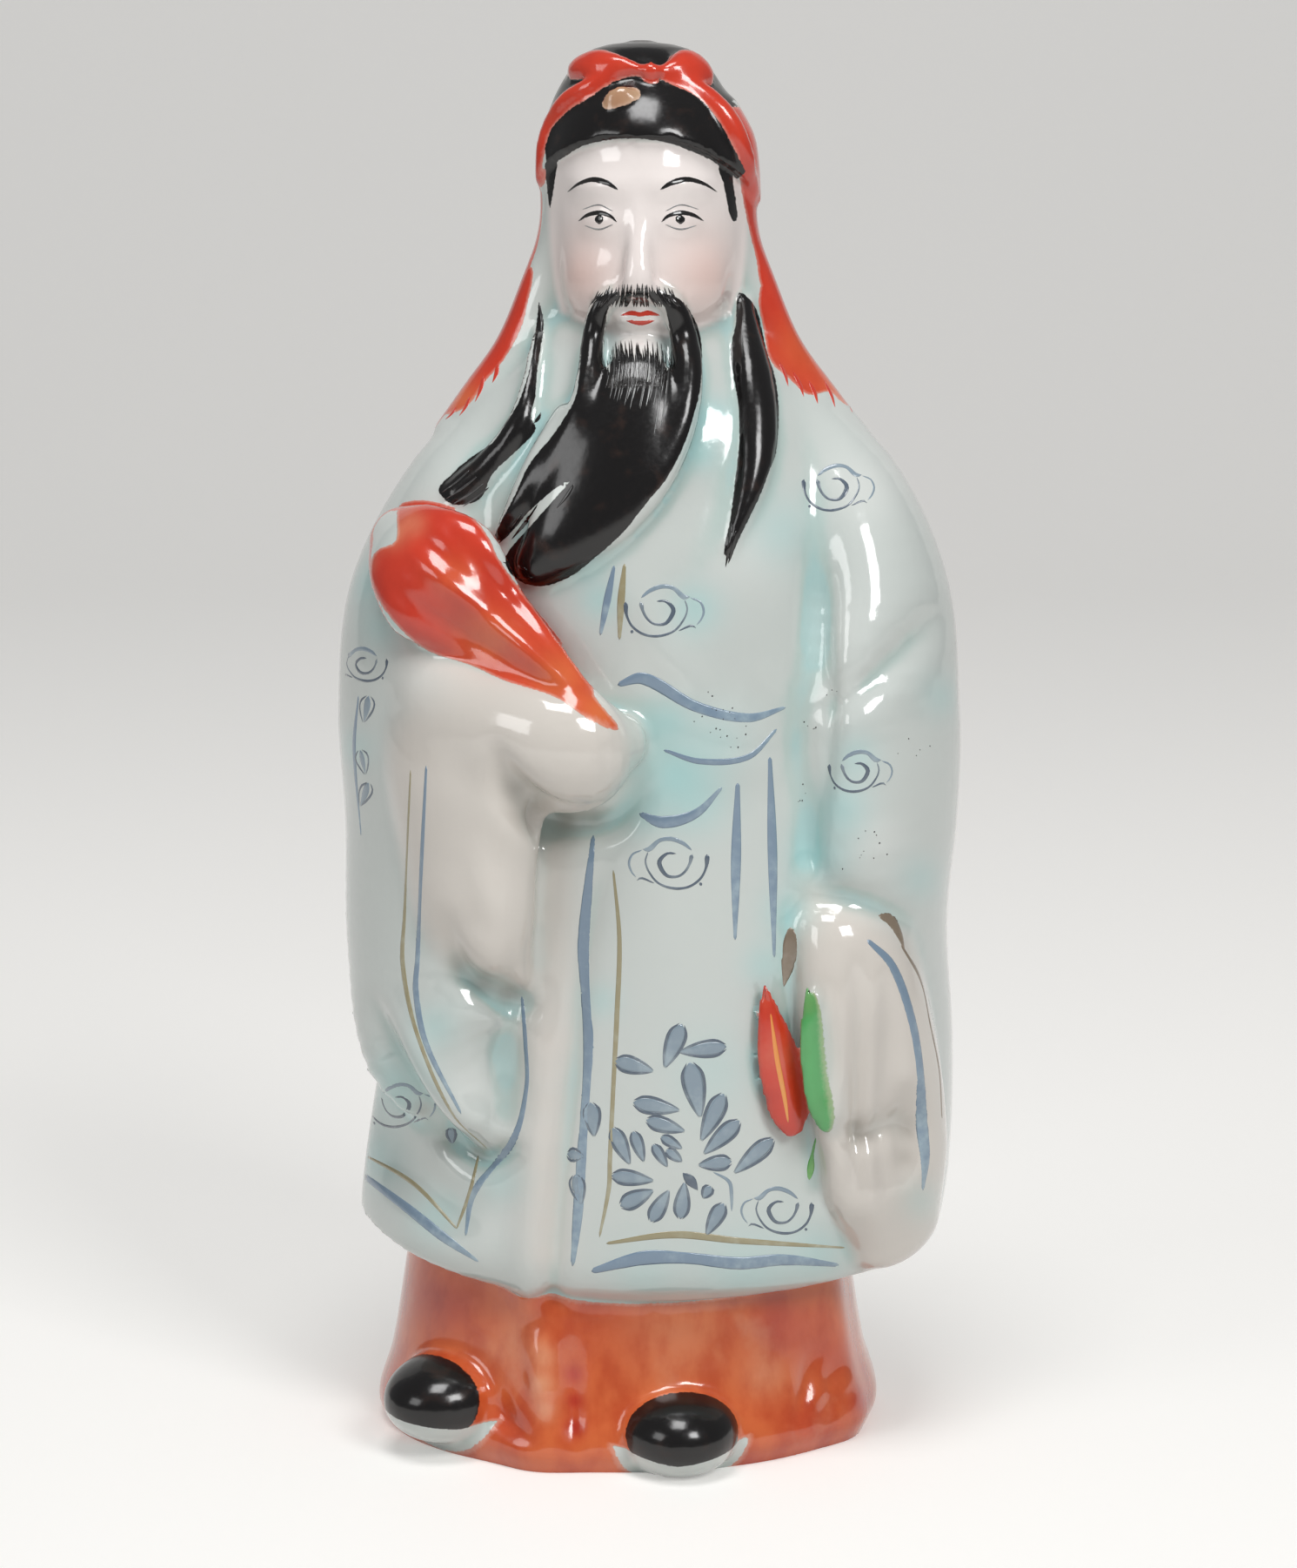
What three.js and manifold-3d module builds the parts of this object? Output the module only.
// A hollow porcelain figurine of a bearded sage, 150 mm tall, built from the moulded pieces
// that a potter lutes together with slip before the glaze firing.
//
// Millimetres, +Z up, and the figurine faces -Y. The origin is on the table, at the middle of
// the box that the figurine fills. Left and right are the figurine's own, so right is -X.

import * as THREE from "three";
import { mergeVertices } from "three/addons/utils/BufferGeometryUtils.js";
import Module from "manifold-3d";

// Slip joints and walls
const SLIP = 0.3; // the slip between two luted pieces
const WALL = 3.2; // wall of the press-moulded shells

// Underskirt, boots and base
const BASE_SHIFT = -2.3; // the skirt's middle lies to the right of the robe's
const SKIRT_TALL = 17.7;
const FOOT_WIDE = 27.8; // half width and half depth near the floor
const FOOT_DEEP = 22;
const SKIRT_WIDE = 24.6; // half width and half depth under the hem
const SKIRT_DEEP = 18.4;
const FOOT_ROUND = 1.2; // rounding of the foot rim
const BOOT_WIDE = 6.9; // half width and half length of a boot's toe
const BOOT_LONG = 8.4;
const BOOT_TALL = 10;
const BASE_THICK = 2.6;
const BASE_RECESS = 0.9; // the base plate stands clear of the table
const VENT_R = 4.5; // hole that lets steam out in the kiln

// Robe, as half widths and half depths at named heights
const HEM_ROUND = 2.2; // height of the rounded hem edge
const HEM_WIDE = 31.8;
const HEM_DEEP = 22;
const KNEE_Z = 46;
const KNEE_WIDE = 28.8;
const KNEE_DEEP = 21.4;
const WAIST_Z = 76;
const WAIST_WIDE = 26.2;
const WAIST_DEEP = 20.2;
const CHEST_Z = 97;
const CHEST_WIDE = 25.2;
const CHEST_DEEP = 18.8;
const COLLAR_Z = 121;
const COLLAR_WIDE = 10.4;
const COLLAR_DEEP = 9.2;

// Head and headdress
const NECK_TALL = 10; // from the collar to the middle of the head
const HEAD_WIDE = 10.4;
const HEAD_FRONT = 11.8;
const HEAD_BACK = 10.4;
const HEAD_TALL = 15.2; // half height
const NOSE_OUT = 1.9;
const EAR_TALL = 7;
const CAP_THICK = 1.1;
const BRIM_LIFT = 8; // the brim's front edge, above the middle of the head
const BRIM_DROP = 6; // how far the brim droops to the temples
const BAND_R = 1.1; // the red band that arches over the cap
const CROWN_WIDE = 9.7;
const CROWN_DEEP = 9;
const CROWN_RISE = 3.8; // the crown's top, above the top of the head
const BOW_LONG = 4.4; // half length of one lobe
const KNOT_R = 1.3;
const JEWEL_WIDE = 2; // half width and half height
const JEWEL_TALL = 1.5;
const VEIL_DROP = 11.5; // the veil's edge, below the collar
const VEIL_WIDE = 22.6; // half width where it lies on the shoulders
const VEIL_THICK = 1.1;
const VEIL_FRONT = 3.2; // how far it comes forward of the middle

// Relief pieces
const LOCK_THICK = 1.3;
const BEARD_THICK = 2.4;
const FAN_THICK = 2.6;
const LEAF_THICK = 0.9;

const HEAD_Z = COLLAR_Z + NECK_TALL;
const BRIM_Z = HEAD_Z + BRIM_LIFT;
const CROWN_TOP = HEAD_Z + HEAD_TALL + CROWN_RISE;
const CROWN_TALL = CROWN_TOP - BRIM_Z;
const VEIL_LOW = COLLAR_Z - VEIL_DROP;
const HEM_Z = SKIRT_TALL + SLIP;

const wasm = await Module();
wasm.setup();

const COLOURS = {
  robe: { color: 0xd5e2e0, roughness: 0.12, metalness: 0 },
  skin: { color: 0xf0e4dc, roughness: 0.12, metalness: 0 },
  lining: { color: 0xe6dcd6, roughness: 0.14, metalness: 0 },
  black: { color: 0x100d0d, roughness: 0.1, metalness: 0 },
  red: { color: 0xc9281a, roughness: 0.2, metalness: 0 },
  orange: { color: 0xd0562c, roughness: 0.16, metalness: 0 },
  green: { color: 0x4da04f, roughness: 0.2, metalness: 0 },
  gold: { color: 0xc0a070, roughness: 0.25, metalness: 0 },
  biscuit: { color: 0xe4ded6, roughness: 0.8, metalness: 0 },
};

const ACROSS = new THREE.Vector3(1, 0, 0);
const AHEAD = new THREE.Vector3(0, -1, 0);

// Solids and booleans

function solidOf(geometry) {
  const bare = new THREE.BufferGeometry();
  bare.setAttribute("position", geometry.getAttribute("position"));
  bare.setIndex(geometry.getIndex());
  const merged = mergeVertices(bare, 1e-4);
  const index = Array.from(merged.index.array);
  const kept = [];
  for (let i = 0; i < index.length; i += 3) {
    const [a, b, c] = index.slice(i, i + 3);
    if (a !== b && b !== c && c !== a) kept.push(a, b, c);
  }
  const mesh = new wasm.Mesh({
    numProp: 3,
    vertProperties: merged.attributes.position.array,
    triVerts: new Uint32Array(kept),
  });
  return new wasm.Manifold(mesh);
}

function geometryOf(solid) {
  const mesh = solid.getMesh();
  const geometry = new THREE.BufferGeometry();
  geometry.setAttribute("position", new THREE.BufferAttribute(mesh.vertProperties, 3));
  geometry.setIndex(new THREE.BufferAttribute(mesh.triVerts, 1));
  return geometry;
}

function largest(solid) {
  return solid.decompose().reduce((a, b) => (a.volume() > b.volume() ? a : b));
}

// Everything on one side of a plane that stands at `at` on the axis.
function halfSpace(axis, at, side) {
  const reach = 4 * CROWN_TOP;
  const box = new THREE.BoxGeometry(reach, reach, reach);
  const centre = new THREE.Vector3();
  centre[axis] = at + (side * reach) / 2;
  box.translate(centre.x, centre.y, centre.z);
  return solidOf(box);
}

// Lofts. A ring is { at, across, out, wide, front, back }: an oval whose half width lies along
// `across` and whose half depth lies along `out` (front) and against it (back).

function ovalPoint(ring, angle, extra) {
  const side = Math.sin(angle);
  const ahead = Math.cos(angle);
  const depth = (ahead > 0 ? ring.front : ring.back) + extra;
  return ring.at
    .clone()
    .addScaledVector(ring.across, side * (ring.wide + extra))
    .addScaledVector(ring.out, ahead * depth);
}

function loft(rings, sides, relief = () => 0) {
  const points = [];
  const faces = [];
  for (const ring of rings) {
    for (let i = 0; i < sides; i++) {
      const angle = (i / sides) * 2 * Math.PI;
      points.push(...ovalPoint(ring, angle, relief(angle, ring.at.z)).toArray());
    }
  }
  const firstPole = rings.length * sides;
  const lastPole = firstPole + 1;
  points.push(...rings[0].at.toArray(), ...rings.at(-1).at.toArray());
  const lastRow = firstPole - sides;
  for (let i = 0; i < sides; i++) {
    const next = (i + 1) % sides;
    faces.push(firstPole, next, i);
    faces.push(lastPole, lastRow + i, lastRow + next);
    for (let row = 0; row < lastRow; row += sides) {
      faces.push(row + i, row + next, row + sides + i);
      faces.push(row + next, row + sides + next, row + sides + i);
    }
  }
  const geometry = new THREE.BufferGeometry();
  geometry.setAttribute("position", new THREE.Float32BufferAttribute(points, 3));
  geometry.setIndex(faces);
  const made = solidOf(geometry);
  if (made.volume() > 0) return made;
  for (let i = 0; i < faces.length; i += 3) {
    [faces[i], faces[i + 1]] = [faces[i + 1], faces[i]];
  }
  geometry.setIndex(faces);
  return solidOf(geometry);
}

// A smooth value between the rows of a table whose first column is the height.
function along(table, z, column) {
  const last = table.length - 1;
  if (z <= table[0][0]) return table[0][column];
  if (z >= table[last][0]) return table[last][column];
  const i = table.findIndex((row) => row[0] >= z);
  const [low, high] = [table[i - 1], table[i]];
  const before = table[i - 2] ?? low;
  const after = table[i + 1] ?? high;
  const span = high[0] - low[0];
  const slope = (a, b) => ((b[column] - a[column]) / (b[0] - a[0])) * span;
  const t = (z - low[0]) / span;
  const ease = t * t * (3 - 2 * t);
  const leaving = t * (1 - t) ** 2 * slope(before, high);
  const arriving = t * t * (1 - t) * slope(low, after);
  return low[column] + (high[column] - low[column]) * ease + leaving - arriving;
}

// An upright body: rows of [z, half width, front depth, back depth], around the line x, y.
function upright(rows, { x = 0, y = 0, sides = 20, rings = 10, grow = 0, relief } = {}) {
  const low = rows[0][0] - grow;
  const high = rows.at(-1)[0] + grow;
  const made = [];
  for (let i = 0; i <= rings; i++) {
    const z = low + ((high - low) * i) / rings;
    made.push({
      at: new THREE.Vector3(x, y, z),
      across: ACROSS,
      out: AHEAD,
      wide: along(rows, z, 1) + grow,
      front: along(rows, z, 2) + grow,
      back: along(rows, z, 3) + grow,
    });
  }
  return loft(made, sides, relief);
}

// A swept body: keys of { at, out, wide, deep }, with a smooth spine through them.
function sweep(keys, { sides = 10, rings = 10, grow = 0 } = {}) {
  const thinnest = 0.1;
  const spine = new THREE.CatmullRomCurve3(keys.map((k) => k.at));
  const size = new THREE.CatmullRomCurve3(keys.map((k) => new THREE.Vector3(k.wide, k.deep, 0)));
  const facing = new THREE.CatmullRomCurve3(keys.map((k) => k.out));
  const made = [];
  for (let i = 0; i <= rings; i++) {
    const t = i / rings;
    const tangent = spine.getTangent(t);
    const out = facing.getPoint(t);
    out.addScaledVector(tangent, -out.dot(tangent)).normalize();
    const across = new THREE.Vector3().crossVectors(out, tangent).normalize();
    const half = size.getPoint(t);
    const at = spine.getPoint(t);
    if (i === 0) at.addScaledVector(tangent, -grow);
    if (i === rings) at.addScaledVector(tangent, grow);
    const wide = Math.max(half.x, thinnest) + grow;
    const deep = Math.max(half.y, thinnest) + grow;
    made.push({ at, across, out, wide, front: deep, back: deep });
  }
  return loft(made, sides);
}

// Robe and underskirt

const robeRows = [
  [HEM_Z, HEM_WIDE - 3.6, HEM_DEEP - 3.2, HEM_DEEP - 3.2],
  [HEM_Z + HEM_ROUND, HEM_WIDE - 0.8, HEM_DEEP - 0.7, HEM_DEEP - 0.9],
  [HEM_Z + 3 * HEM_ROUND, HEM_WIDE, HEM_DEEP, HEM_DEEP - 0.6],
  [KNEE_Z, KNEE_WIDE, KNEE_DEEP, KNEE_DEEP - 0.8],
  [WAIST_Z, WAIST_WIDE, WAIST_DEEP, WAIST_DEEP - 1],
  [CHEST_Z, CHEST_WIDE, CHEST_DEEP, CHEST_DEEP - 0.6],
  [heightOf(3.55), 0.79 * CHEST_WIDE, 0.8 * CHEST_DEEP, 0.86 * CHEST_DEEP],
  [heightOf(3.83), COLLAR_WIDE + 4, COLLAR_DEEP + 2.6, COLLAR_DEEP + 3.4],
  [COLLAR_Z, COLLAR_WIDE, COLLAR_DEEP, COLLAR_DEEP],
];

// A height counted in landmarks: 0 is the hem, 1 the knee, 2 the waist, 3 the chest, 4 the collar.
function heightOf(level) {
  const landmarks = [HEM_Z, KNEE_Z, WAIST_Z, CHEST_Z, COLLAR_Z];
  const low = Math.min(Math.floor(level), landmarks.length - 2);
  return landmarks[low] + (landmarks[low + 1] - landmarks[low]) * (level - low);
}

// Folds pressed into the cloth: [degrees from the front, top level, degrees wide, height].
const ROBE_FOLDS = [
  [2, 1.6, 19, 1.1],
  [-48, 0.9, 12, 0.9],
  [118, 1.8, 12, 0.9],
  [150, 2.3, 11, 1],
  [180, 2.6, 10, 0.9],
  [210, 2.3, 11, 1],
  [242, 1.8, 12, 0.9],
];

// The same on the underskirt, where the folds run the whole height.
const SKIRT_FOLDS = [
  [-20, 9, 1.2],
  [62, 9, 0.8],
  [104, 9, 0.6],
  [150, 10, 0.8],
  [190, 10, 0.8],
  [232, 10, 0.8],
];

function foldHeight(angle, middle, wide, tall) {
  let off = THREE.MathUtils.radToDeg(angle) - middle;
  off -= 360 * Math.round(off / 360);
  return tall * Math.exp(-((off / wide) ** 2));
}

function robeRelief(angle, z) {
  let height = 0;
  for (const [middle, top, wide, tall] of ROBE_FOLDS) {
    const begins = THREE.MathUtils.smoothstep(z, HEM_Z, HEM_Z + 4 * HEM_ROUND);
    const ends = 1 - THREE.MathUtils.smoothstep(z, heightOf(0.7 * top), heightOf(top));
    height += foldHeight(angle, middle, wide, tall) * begins * ends;
  }
  return height;
}

function skirtRelief(angle) {
  return SKIRT_FOLDS.reduce((sum, fold) => sum + foldHeight(angle, ...fold), 0);
}

const midWide = (FOOT_WIDE + SKIRT_WIDE) / 2;
const midDeep = (FOOT_DEEP + SKIRT_DEEP) / 2;
const skirtRows = [
  [0, FOOT_WIDE - FOOT_ROUND, FOOT_DEEP - FOOT_ROUND, FOOT_DEEP - 2 * FOOT_ROUND],
  [2 * FOOT_ROUND, FOOT_WIDE, FOOT_DEEP, FOOT_DEEP - FOOT_ROUND],
  [0.45 * SKIRT_TALL, midWide, midDeep, midDeep - FOOT_ROUND],
  [SKIRT_TALL, SKIRT_WIDE, SKIRT_DEEP, SKIRT_DEEP],
];

const robeForm = (grow) => upright(robeRows, { sides: 30, rings: 14, grow, relief: robeRelief });
const skirtOptions = { x: BASE_SHIFT, sides: 30, rings: 5 };
const skirtForm = (grow) => upright(skirtRows, { ...skirtOptions, grow, relief: skirtRelief });

// The space inside a body with a wall that thick, open through its floor and its top.
function hollow(rows, thick, options) {
  const inner = rows.map(([z, wide, front, back]) => [z, wide - thick, front - thick, back - thick]);
  inner[0][0] -= 1;
  inner.at(-1)[0] += 1;
  return upright(inner, options);
}

// Where something sits on an upright body: degrees from the front, height, how far it stands out.
function onBody(rows, degrees, z, proud) {
  const angle = THREE.MathUtils.degToRad(degrees);
  const side = Math.sin(angle);
  const ahead = Math.cos(angle);
  const depth = along(rows, z, ahead > 0 ? 2 : 3);
  const wide = along(rows, z, 1);
  const out = new THREE.Vector3(side / wide, -ahead / depth, 0).normalize();
  const at = new THREE.Vector3(side * wide, -ahead * depth, z).addScaledVector(out, proud);
  return { at, out };
}

// Keys on the robe are [degrees, level, stands out, half width, half thickness]. On the head the
// second number is a share of the head's half height, up from its middle.
function robeKey([degrees, level, proud, wide, deep]) {
  return { ...onBody(robeRows, degrees, heightOf(level), proud), wide, deep };
}

function headKey([degrees, share, proud, wide, deep]) {
  return { ...onBody(headRows, degrees, HEAD_Z + share * HEAD_TALL, proud), wide, deep };
}

function onRobe(keys, sides, rings) {
  return (grow) => sweep(keys.map(robeKey), { sides, rings, grow });
}

// Sleeves, cuffs and the hand that the right sleeve hides

const rightSleeve = onRobe([
  [-80, 3.62, -4, 4, 3.2],
  [-76, 3.25, -2.6, 8, 5.6],
  [-72, 2.76, 0.2, 11.5, 6.4],
  [-68, 2.19, 0.6, 13, 7.2],
  [-66, 1.73, 0, 12.5, 6.4],
  [-60, 1.33, 0.2, 12, 5.6],
  [-50, 0.97, 0.8, 10, 4.6],
  [-40, 0.7, 0.4, 4, 2.2],
], 16, 12);

const leftSleeve = onRobe([
  [80, 3.62, -3.4, 4, 3.4],
  [76, 3.25, -1.8, 8.5, 5.8],
  [72, 2.76, 0.4, 11, 6.6],
  [66, 2.14, 1, 12.5, 7.2],
  [66, 1.7, 0.6, 12, 6.6],
  [72, 1.3, -0.4, 10.5, 5.4],
  [80, 0.86, -0.2, 9, 4.4],
  [82, 0.36, -1.4, 8, 3],
  [82, 0.12, -3, 5, 2.4],
], 16, 13);

const rightCuff = onRobe([
  [-34, 2.38, 0, 7, 4],
  [-36, 2, 3, 9, 5],
  [-38, 1.67, 3, 7.4, 4.8],
  [-35, 1.4, 2.8, 5.8, 4],
  [-32, 1.22, 1, 3.4, 1.8],
], 12, 8);

const leftCuff = onRobe([
  [40, 1.57, -0.6, 3.4, 2.4],
  [46, 1.37, 2, 6.6, 4.4],
  [49, 0.97, 2.4, 8.4, 4.6],
  [53, 0.47, 1.6, 8.2, 4.4],
  [58, 0.1, 0.8, 5.4, 3],
], 12, 9);

const rightHand = onRobe([
  [-62, 2.52, 2, 4, 3.4],
  [-48, 2.36, 4, 6, 5],
  [-34, 2.21, 5, 6.4, 5.4],
  [-19, 2.12, 5, 6.8, 5.8],
  [-9, 2.1, 4.2, 6.2, 5.2],
  [-2, 2.11, 2, 2.6, 2.4],
], 12, 8);

// Head, on plain proportions: the eyes at its middle, the nose ending halfway down from them

const headRows = [
  [HEAD_Z - HEAD_TALL, 0.42 * HEAD_WIDE, 0.56 * HEAD_FRONT, 0.38 * HEAD_BACK],
  [HEAD_Z - 0.82 * HEAD_TALL, 0.72 * HEAD_WIDE, 0.86 * HEAD_FRONT, 0.6 * HEAD_BACK],
  [HEAD_Z - 0.55 * HEAD_TALL, 0.92 * HEAD_WIDE, 0.97 * HEAD_FRONT, 0.85 * HEAD_BACK],
  [HEAD_Z - 0.1 * HEAD_TALL, HEAD_WIDE, HEAD_FRONT, HEAD_BACK],
  [HEAD_Z + 0.35 * HEAD_TALL, 0.98 * HEAD_WIDE, 0.93 * HEAD_FRONT, HEAD_BACK],
  [HEAD_Z + 0.7 * HEAD_TALL, 0.82 * HEAD_WIDE, 0.78 * HEAD_FRONT, 0.84 * HEAD_BACK],
  [HEAD_Z + 0.92 * HEAD_TALL, 0.5 * HEAD_WIDE, 0.5 * HEAD_FRONT, 0.5 * HEAD_BACK],
  [HEAD_Z + HEAD_TALL, 0.2 * HEAD_WIDE, 0.2 * HEAD_FRONT, 0.2 * HEAD_BACK],
];

function headForm(grow) {
  const nose = [
    [0, 0, -0.6, 0.9, 0.8],
    [0, -0.22, 0.2 * NOSE_OUT, 1.3, 1],
    [0, -0.38, 0.62 * NOSE_OUT, 1.9, 1],
    [0, -0.47, -0.4, 1.2, 0.6],
  ];
  let made = upright(headRows, { rings: 12, grow });
  made = made.add(sweep(nose.map(headKey), { sides: 8, rings: 5, grow }));
  const lobe = EAR_TALL / HEAD_TALL;
  for (const side of [-1, 1]) {
    const ear = [
      [side * 88, 0.6 * lobe, -0.4, 1.4, 0.9],
      [side * 90, 0.3 * lobe, 0, 2.4, 1],
      [side * 88, -0.4 * lobe, 0.2, 2.1, 1],
      [side * 84, -lobe, 0.4, 1.7, 1.1],
      [side * 84, -1.25 * lobe, 0.2, 0.8, 0.8],
    ];
    made = made.add(sweep(ear.map(headKey), { sides: 8, rings: 6, grow }));
  }
  return made;
}

// Cap, crown, band and bow

// The space above the brim, which is high over the brow and low at the temples.
function aboveBrim(lift) {
  const reach = 1.6 * HEAD_WIDE;
  const steps = 16;
  const shape = new THREE.Shape();
  shape.moveTo(-reach, 2 * CROWN_TOP);
  for (let i = 0; i <= steps; i++) {
    const x = -reach + (2 * reach * i) / steps;
    shape.lineTo(x, BRIM_Z + lift - BRIM_DROP * Math.abs(x / HEAD_WIDE) ** 2.6);
  }
  shape.lineTo(reach, 2 * CROWN_TOP);
  const slab = new THREE.ExtrudeGeometry(shape, { depth: 4 * reach, bevelEnabled: false });
  slab.rotateX(Math.PI / 2).translate(0, 2 * reach, 0);
  return solidOf(slab);
}

const capForm = (grow) =>
  upright(headRows, { rings: 12, grow: CAP_THICK + grow }).intersect(aboveBrim(-grow));

function crownForm(grow) {
  const set = 0.15 * CROWN_DEEP; // the crown sits back from the brow
  const oval = (share, up) => [
    CROWN_TOP - (1 - up) * CROWN_TALL,
    share * CROWN_WIDE,
    0.8 * share * CROWN_DEEP,
    share * CROWN_DEEP,
  ];
  const rows = [oval(1, -0.1), oval(1, 0.46), oval(0.82, 0.82), oval(0.44, 0.97), oval(0.1, 1)];
  return upright(rows, { y: set, rings: 8, grow });
}

// The band rises from the temples and crosses in front of the crown.
function bandPoint(degrees) {
  const turn = THREE.MathUtils.degToRad(degrees);
  const temple = BRIM_Z - 0.9 * BRIM_DROP;
  const peak = CROWN_TOP - 0.42 * CROWN_TALL;
  const rise = Math.max(0, Math.cos(turn));
  return new THREE.Vector3(
    Math.sin(turn) * HEAD_WIDE,
    -0.2 * HEAD_FRONT - 0.54 * HEAD_FRONT * rise,
    temple + (peak - temple) * rise ** 0.72,
  );
}

function bandForm(grow) {
  const within = new THREE.Vector3(0, 0, HEAD_Z);
  const keys = [];
  for (let degrees = -90; degrees <= 90; degrees += 15) {
    const at = bandPoint(degrees);
    keys.push({ at, out: at.clone().sub(within).normalize(), wide: BAND_R, deep: BAND_R });
  }
  return sweep(keys, { sides: 8, rings: 18, grow });
}

const bowForm = (side) => (grow) => {
  const shares = [0, 0.3, 0.7, 1];
  const keys = shares.map((t, i) => {
    const off = new THREE.Vector3(side * (0.1 + 2 * t), 0.5 * t, 0.34 * Math.sin(2.9 * t));
    return {
      at: bandPoint(0).addScaledVector(off, BOW_LONG),
      out: new THREE.Vector3(side * 0.3, -1, 0.3),
      wide: BOW_LONG * [0.16, 0.41, 0.52, 0.18][i],
      deep: BOW_LONG * [0.18, 0.25, 0.27, 0.14][i],
    };
  });
  return sweep(keys, { sides: 10, rings: 6, grow });
};

function knotForm(grow) {
  const ball = new THREE.SphereGeometry(KNOT_R + grow, 10, 8);
  const at = bandPoint(0);
  ball.translate(at.x, at.y - KNOT_R / 2, at.z + KNOT_R / 4);
  return solidOf(ball);
}

function jewelForm(grow) {
  const { at, out } = onBody(headRows, -6, BRIM_Z + 0.33 * CROWN_TALL, CAP_THICK);
  const plaque = new THREE.SphereGeometry(1, 12, 8);
  plaque.scale(JEWEL_WIDE + grow, CAP_THICK + grow, JEWEL_TALL + grow);
  plaque.applyQuaternion(new THREE.Quaternion().setFromUnitVectors(AHEAD, out));
  plaque.translate(at.x, at.y, at.z);
  return solidOf(plaque);
}

// The veil falls from the cap behind the head and spreads over the shoulders.
function veilForm(grow) {
  const side = HEAD_WIDE + VEIL_THICK;
  const back = HEAD_BACK + VEIL_THICK;
  const rows = [
    [VEIL_LOW, VEIL_WIDE, 0.62 * VEIL_WIDE, 0.76 * VEIL_WIDE],
    [VEIL_LOW + 0.36 * VEIL_DROP, 0.88 * VEIL_WIDE, 0.58 * VEIL_WIDE, 0.7 * VEIL_WIDE],
    [VEIL_LOW + 0.8 * VEIL_DROP, 0.72 * VEIL_WIDE, 0.5 * VEIL_WIDE, 0.6 * VEIL_WIDE],
    [HEAD_Z - 0.42 * HEAD_TALL, side + 2 * VEIL_THICK, side, back + VEIL_THICK],
    [HEAD_Z, side, side, back],
    [BRIM_Z, side - 0.4, side - 0.6, back - 0.2],
    [BRIM_Z + 0.36 * CROWN_TALL, 0.78 * side, 0.74 * side, 0.8 * back],
  ];
  const cloth = upright(rows, { sides: 24, grow });
  return cloth.intersect(halfSpace("y", -VEIL_FRONT - grow, 1));
}

// Beard, moustache and side locks

const beard = onRobe([
  [2, 4.02, 0.4, 2.6, 1.2],
  [1, 3.87, 2.2, 4.4, BEARD_THICK],
  [-1, 3.62, 1.8, 6.4, BEARD_THICK],
  [-6, 3.37, 1, 6.8, BEARD_THICK],
  [-15, 3.12, 0.6, 5.8, BEARD_THICK],
  [-25, 2.9, 0.4, 4, 0.8 * BEARD_THICK],
  [-32, 2.78, 0.2, 1.6, 0.5 * BEARD_THICK],
], 12, 11);

const moustacheForm = (side) => (grow) => {
  const onFace = [
    [side * 4, -0.41, 0.2, 0.9, 0.7],
    [side * 20, -0.47, 0.5, 1.4, 1.2],
    [side * 31, -0.66, 0.9, 1.7, 1.4],
    [side * 34, -0.86, 1.6, 1.9, 1.6],
  ];
  const onChest = [
    [side * 30 - 2, 3.67, 3.2, 2.1, 1.8],
    [side * 22 - 5, 3.42, 2.6, 1.8, 1.6],
    [side * 12 - 10, 3.17, 1.6, 0.8, 0.8],
  ];
  const keys = [...onFace.map(headKey), ...onChest.map(robeKey)];
  return sweep(keys, { sides: 8, rings: 12, grow });
};

const rightLock = onRobe([
  [-62, 4.04, 1, 0.7, 0.6 * LOCK_THICK],
  [-58, 3.83, 0.4, 1.2, LOCK_THICK],
  [-50, 3.6, 0.3, 1.5, LOCK_THICK],
  [-50, 3.37, 0.2, 2, LOCK_THICK],
  [-54, 3.17, 0.2, 1.2, 0.7 * LOCK_THICK],
], 8, 8);

const leftLock = onRobe([
  [64, 4.06, 1, 1, 0.7 * LOCK_THICK],
  [54, 3.85, 0.6, 2.2, LOCK_THICK],
  [40, 3.58, 0.4, 2.6, LOCK_THICK],
  [34, 3.33, 0.3, 2.2, LOCK_THICK],
  [27, 3, 0.1, 0.6, 0.5 * LOCK_THICK],
], 8, 9);

// Fan, leaves and boots

const FAN_KEYS = [
  [-60, 3.11, 5, 3.6, 0.6 * FAN_THICK],
  [-55, 3.03, 5.6, 6.2, FAN_THICK],
  [-42, 2.84, 6, 6.6, FAN_THICK],
  [-27, 2.59, 7.4, 4.8, FAN_THICK],
  [-14, 2.34, 9.4, 2.4, 0.7 * FAN_THICK],
  [-6, 2.21, 10, 0.6, 0.2 * FAN_THICK],
];

function fanForm(grow) {
  const face = new THREE.Vector3(-0.3, -1, 0.2).normalize();
  const keys = FAN_KEYS.map((key) => ({ ...robeKey(key), out: face }));
  return sweep(keys, { sides: 10, rings: 9, grow });
}

// A leaf hangs with its broad part low: its middle and lean in degrees, and its two ends as levels.
const leafForm = (degrees, lean, low, high, wide, proud) => (grow) => {
  const keys = [0, 0.25, 0.6, 0.85, 1].map((t, i) => {
    const half = wide * [0.3, 0.9, 1, 0.55, 0.15][i];
    const thick = LEAF_THICK * [0.6, 1, 1, 0.8, 0.4][i];
    return robeKey([degrees + lean * (1 - t), low + (high - low) * t, proud, half, thick]);
  });
  return sweep(keys, { sides: 8, rings: 6, grow });
};

const bootForm = (across, ahead, turn) => (grow) => {
  const toe = new THREE.SphereGeometry(1, 14, 9);
  toe.scale(BOOT_WIDE + grow, BOOT_LONG + grow, BOOT_TALL / 2 + grow);
  toe.rotateZ(THREE.MathUtils.degToRad(turn));
  toe.translate(BASE_SHIFT + across * FOOT_WIDE, -ahead * FOOT_DEEP, 0.4 * BOOT_TALL);
  return solidOf(toe).intersect(halfSpace("z", 0, 1));
};

// Assembly

const figurine = new THREE.Group();
figurine.name = "figurine";

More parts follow.
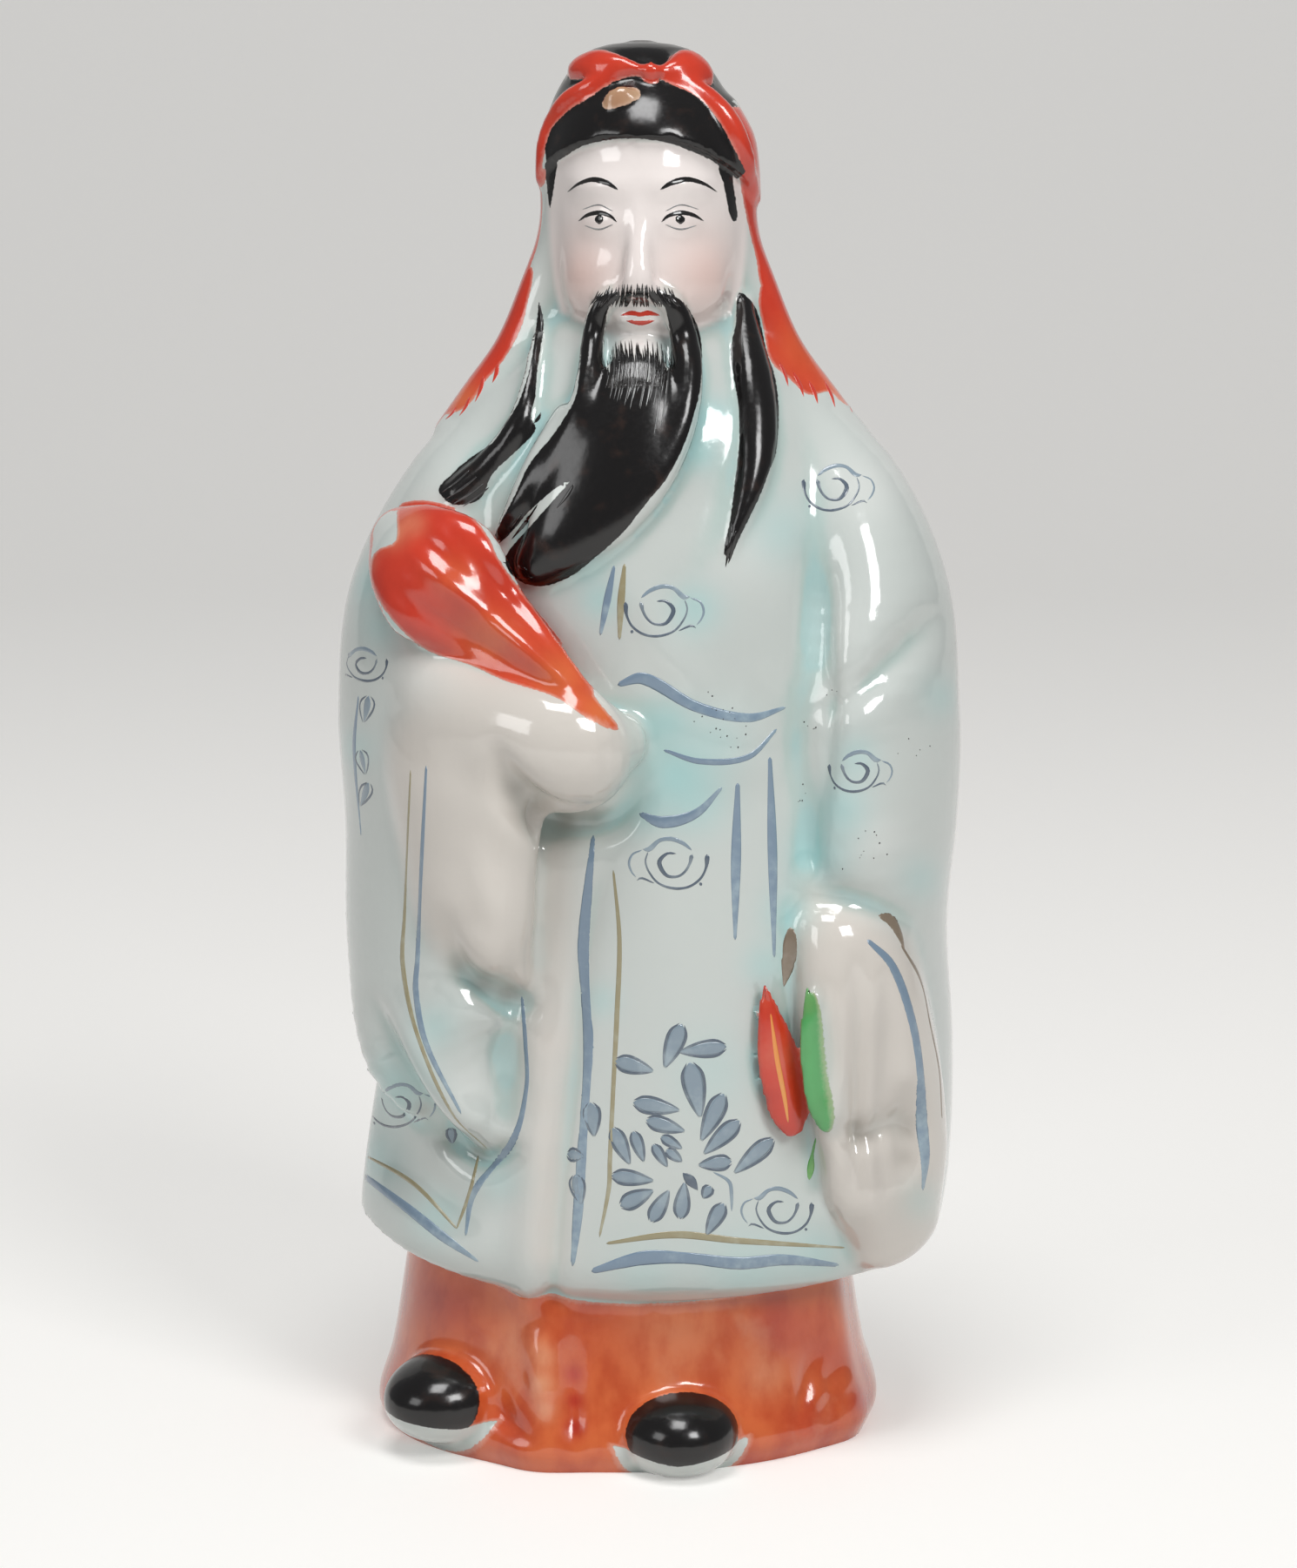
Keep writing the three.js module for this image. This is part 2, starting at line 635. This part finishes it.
function add(name, finish, solid) {
  const material = new THREE.MeshStandardMaterial(COLOURS[finish]);
  const mesh = new THREE.Mesh(geometryOf(largest(solid)), material);
  mesh.name = name;
  figurine.add(mesh);
}

// Lutes a piece on: it is cut clear, by the slip, of every form that was laid down before it.
const laid = [robeForm(SLIP), skirtForm(SLIP)];
function lute(name, finish, form) {
  add(name, finish, laid.reduce((made, under) => made.subtract(under), form(0)));
  laid.push(form(SLIP));
}

// The two robe shells are pressed in a two-part mould and meet at a seam down each side. Their
// hollow narrows to the underskirt's, which opens below it.
const robeHollow = hollow(robeRows.slice(0, -1), WALL, { sides: 22, rings: 9 });
const mouth = upright(
  [[0, SKIRT_WIDE - WALL, SKIRT_DEEP - WALL, SKIRT_DEEP - WALL],
    [HEM_Z + 4 * HEM_ROUND, HEM_WIDE - WALL, HEM_DEEP - WALL, HEM_DEEP - WALL]],
  { sides: 22, rings: 3 },
);
const aboveHem = robeHollow.intersect(halfSpace("z", HEM_Z + 4 * HEM_ROUND - SLIP, 1));
const shell = robeForm(0).subtract(aboveHem.add(mouth));
add("robe_front", "robe", shell.intersect(halfSpace("y", -SLIP / 2, -1)));
add("robe_back", "robe", shell.intersect(halfSpace("y", SLIP / 2, 1)));

add("underskirt", "orange", skirtForm(0).subtract(hollow(skirtRows, WALL, skirtOptions)));

// The plate closes the skirt's hollow, a slip clear of its wall.
const vent = new THREE.CylinderGeometry(VENT_R, VENT_R, SKIRT_TALL, 20).rotateX(Math.PI / 2);
const plate = hollow(skirtRows, WALL + SLIP, skirtOptions)
  .intersect(halfSpace("z", BASE_RECESS, 1))
  .intersect(halfSpace("z", BASE_RECESS + BASE_THICK, -1));
add("base_plate", "biscuit", plate.subtract(solidOf(vent.translate(BASE_SHIFT, 0, 0))));

lute("right_boot", "black", bootForm(-0.64, 0.62, -38));
lute("left_boot", "black", bootForm(0.19, 0.82, 10));
lute("right_sleeve", "robe", rightSleeve);
lute("left_sleeve", "robe", leftSleeve);
lute("right_cuff", "lining", rightCuff);
lute("left_cuff", "lining", leftCuff);
lute("right_hand", "lining", rightHand);
lute("head", "skin", headForm);
lute("cap", "black", capForm);
lute("crown", "black", crownForm);
lute("cap_band", "red", bandForm);
lute("bow_knot", "red", knotForm);
lute("left_bow", "red", bowForm(1));
lute("right_bow", "red", bowForm(-1));
lute("cap_jewel", "gold", jewelForm);
lute("veil", "red", veilForm);
lute("beard", "black", beard);
lute("left_moustache", "black", moustacheForm(1));
lute("right_moustache", "black", moustacheForm(-1));
lute("right_lock", "black", rightLock);
lute("left_lock", "black", leftLock);
lute("fan", "red", fanForm);
lute("red_leaf", "red", leafForm(25, 3, 0.68, 1.22, 2.8, 1.2));
lute("green_leaf", "green", leafForm(33, 2, 0.72, 1.22, 2.1, 4.6));

// The origin goes to the middle of the box, at the table.
const middle = new THREE.Box3().setFromObject(figurine).getCenter(new THREE.Vector3());
figurine.position.set(-middle.x, -middle.y, 0);

export default figurine;
